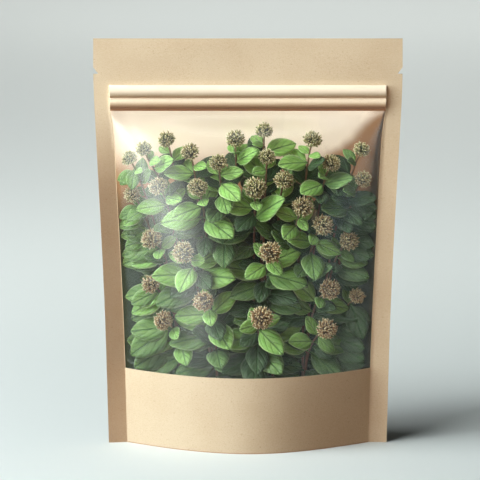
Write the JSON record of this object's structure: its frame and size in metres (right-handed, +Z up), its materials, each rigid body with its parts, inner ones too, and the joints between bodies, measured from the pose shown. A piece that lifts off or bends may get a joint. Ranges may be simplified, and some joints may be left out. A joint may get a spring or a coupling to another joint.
{
  "type": "stand-up window pouch of oregano sprigs",
  "caption": "stand-up kraft pouch with a clear front window, a press-to-close zip and tear notches, filled with flowering oregano sprigs",
  "frame": {"origin": "under the middle of the pouch's base, on the floor it stands on", "axes": "+Z up, +X to the right as seen from the window side, the window faces -Y"},
  "size_m": [0.16, 0.0576, 0.214],
  "materials": {
    "kraft": "uncoated light-brown kraft paper with fine fibres and specks, matt",
    "film": "clear film, glossy, slightly milky where it catches the light",
    "zip_track": "translucent pale extruded strip",
    "leaf": "soft matt green leaf with paler veins, on a thin pinkish-brown stem",
    "bud": "matt olive and tan bud clusters"
  },
  "bodies": {
    "root": {"front_panel": "kraft", "back_panel": "kraft", "window_film": "film", "bottom_gusset": "kraft", "zip_track_front": "zip_track", "zip_track_back": "zip_track", "leafy_sprig_a": "leaf", "leafy_sprig_b": "leaf", "leafy_sprig_c": "leaf", "leafy_sprig_d": "leaf", "leafy_sprig_e": "leaf", "leafy_sprig_f": "leaf", "leafy_sprig_g": "leaf", "leafy_sprig_h": "leaf", "leafy_sprig_i": "leaf", "leafy_sprig_j": "leaf", "leafy_sprig_k": "leaf", "leafy_sprig_l": "leaf", "leafy_sprig_m": "leaf", "leafy_sprig_n": "leaf", "leafy_sprig_o": "leaf", "leafy_sprig_p": "leaf", "leafy_sprig_q": "leaf", "leafy_sprig_r": "leaf", "leafy_sprig_s": "leaf", "leafy_sprig_t": "leaf", "flower_head_01": "bud", "flower_head_02": "bud", "flower_head_03": "bud", "flower_head_04": "bud", "flower_head_05": "bud", "flower_head_06": "bud", "flower_head_07": "bud", "flower_head_08": "bud", "flower_head_09": "bud", "flower_head_10": "bud", "flower_head_11": "bud", "flower_head_12": "bud", "flower_head_13": "bud", "flower_head_14": "bud", "flower_head_15": "bud", "flower_head_16": "bud", "flower_head_17": "bud", "flower_head_18": "bud", "flower_head_19": "bud", "flower_head_20": "bud", "flower_head_21": "bud", "flower_head_22": "bud", "flower_head_23": "bud", "flower_head_24": "bud", "flower_head_25": "bud", "flower_head_26": "bud", "flower_head_27": "bud", "flower_head_28": "bud", "flower_head_29": "bud", "flower_head_30": "bud"}
  },
  "joints": []
}
